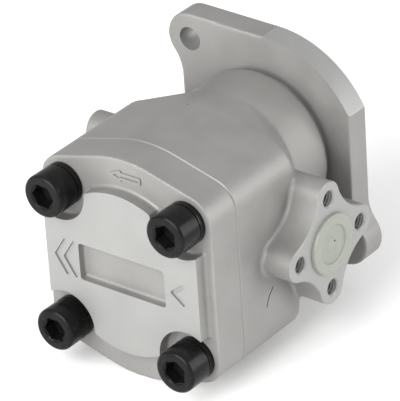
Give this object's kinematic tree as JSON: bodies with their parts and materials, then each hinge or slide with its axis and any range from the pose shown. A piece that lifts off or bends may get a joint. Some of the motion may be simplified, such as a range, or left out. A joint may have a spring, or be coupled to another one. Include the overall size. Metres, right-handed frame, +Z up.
{
  "type": "hydraulic gear pump",
  "caption": "Flange-mounted hydraulic gear pump with a cast body, lobed side ports, a bolted rear cover, meshing gears in plain bearings and a keyed drive shaft.",
  "frame": {"origin": "centre of the mounting face, on the drive shaft's axis", "axes": "+Y out of the mounting face along the drive shaft, +X towards the inlet port, +Z up, from the driven gear to the drive gear"},
  "size_m": [0.1041, 0.1344, 0.0973],
  "materials": {
    "cast_aluminium": "die-cast, lightly blasted",
    "cover_aluminium": "die-cast with a milled pad",
    "black_steel": "black oxide",
    "ground_steel": "hardened and ground",
    "bearing_aluminium": "turned",
    "bush_bronze": "sintered",
    "nitrile_rubber": "matt",
    "nylon_ring": "moulded",
    "plug_plastic": "moulded, slightly translucent"
  },
  "bodies": {
    "housing": {"pump_body": "cast_aluminium", "rear_cover": "cover_aluminium", "cover_screws": "black_steel", "spring_washers": "black_steel", "dowel_pins": "ground_steel", "cover_seal": "nitrile_rubber", "front_bearing_block": "bearing_aluminium", "rear_bearing_block": "bearing_aluminium", "drive_front_bush": "bush_bronze", "drive_rear_bush": "bush_bronze", "driven_front_bush": "bush_bronze", "driven_rear_bush": "bush_bronze", "front_pressure_seal": "nitrile_rubber", "rear_pressure_seal": "nitrile_rubber", "front_backup_ring": "nylon_ring", "rear_backup_ring": "nylon_ring", "shaft_seal": "nitrile_rubber", "garter_spring": "ground_steel", "seal_retaining_ring": "black_steel", "pilot_o_ring": "nitrile_rubber"},
    "drive": {"drive_gear": "ground_steel", "shaft_key": "ground_steel"},
    "driven": {"driven_gear": "ground_steel"},
    "inlet_cap": {"inlet_plug": "plug_plastic"},
    "outlet_cap": {"outlet_plug": "plug_plastic"}
  },
  "joints": [
    {"name": "drive_spin", "type": "hinge", "parent": "housing", "child": "drive", "pos_m": [0, 0, 0], "axis": [0, 1, 0], "continuous": true},
    {"name": "driven_spin", "type": "hinge", "parent": "housing", "child": "driven", "pos_m": [0, 0, -0.026], "axis": [0, 1, 0], "continuous": true},
    {"name": "inlet_plug_pull", "type": "slide", "parent": "housing", "child": "inlet_cap", "axis": [1, 0, 0], "range_m": [0, 0.025]},
    {"name": "outlet_plug_pull", "type": "slide", "parent": "housing", "child": "outlet_cap", "axis": [-1, 0, 0], "range_m": [0, 0.025]}
  ],
  "couplings": [
    {"joint": "driven_spin", "follows": "drive_spin", "ratio": -1}
  ]
}
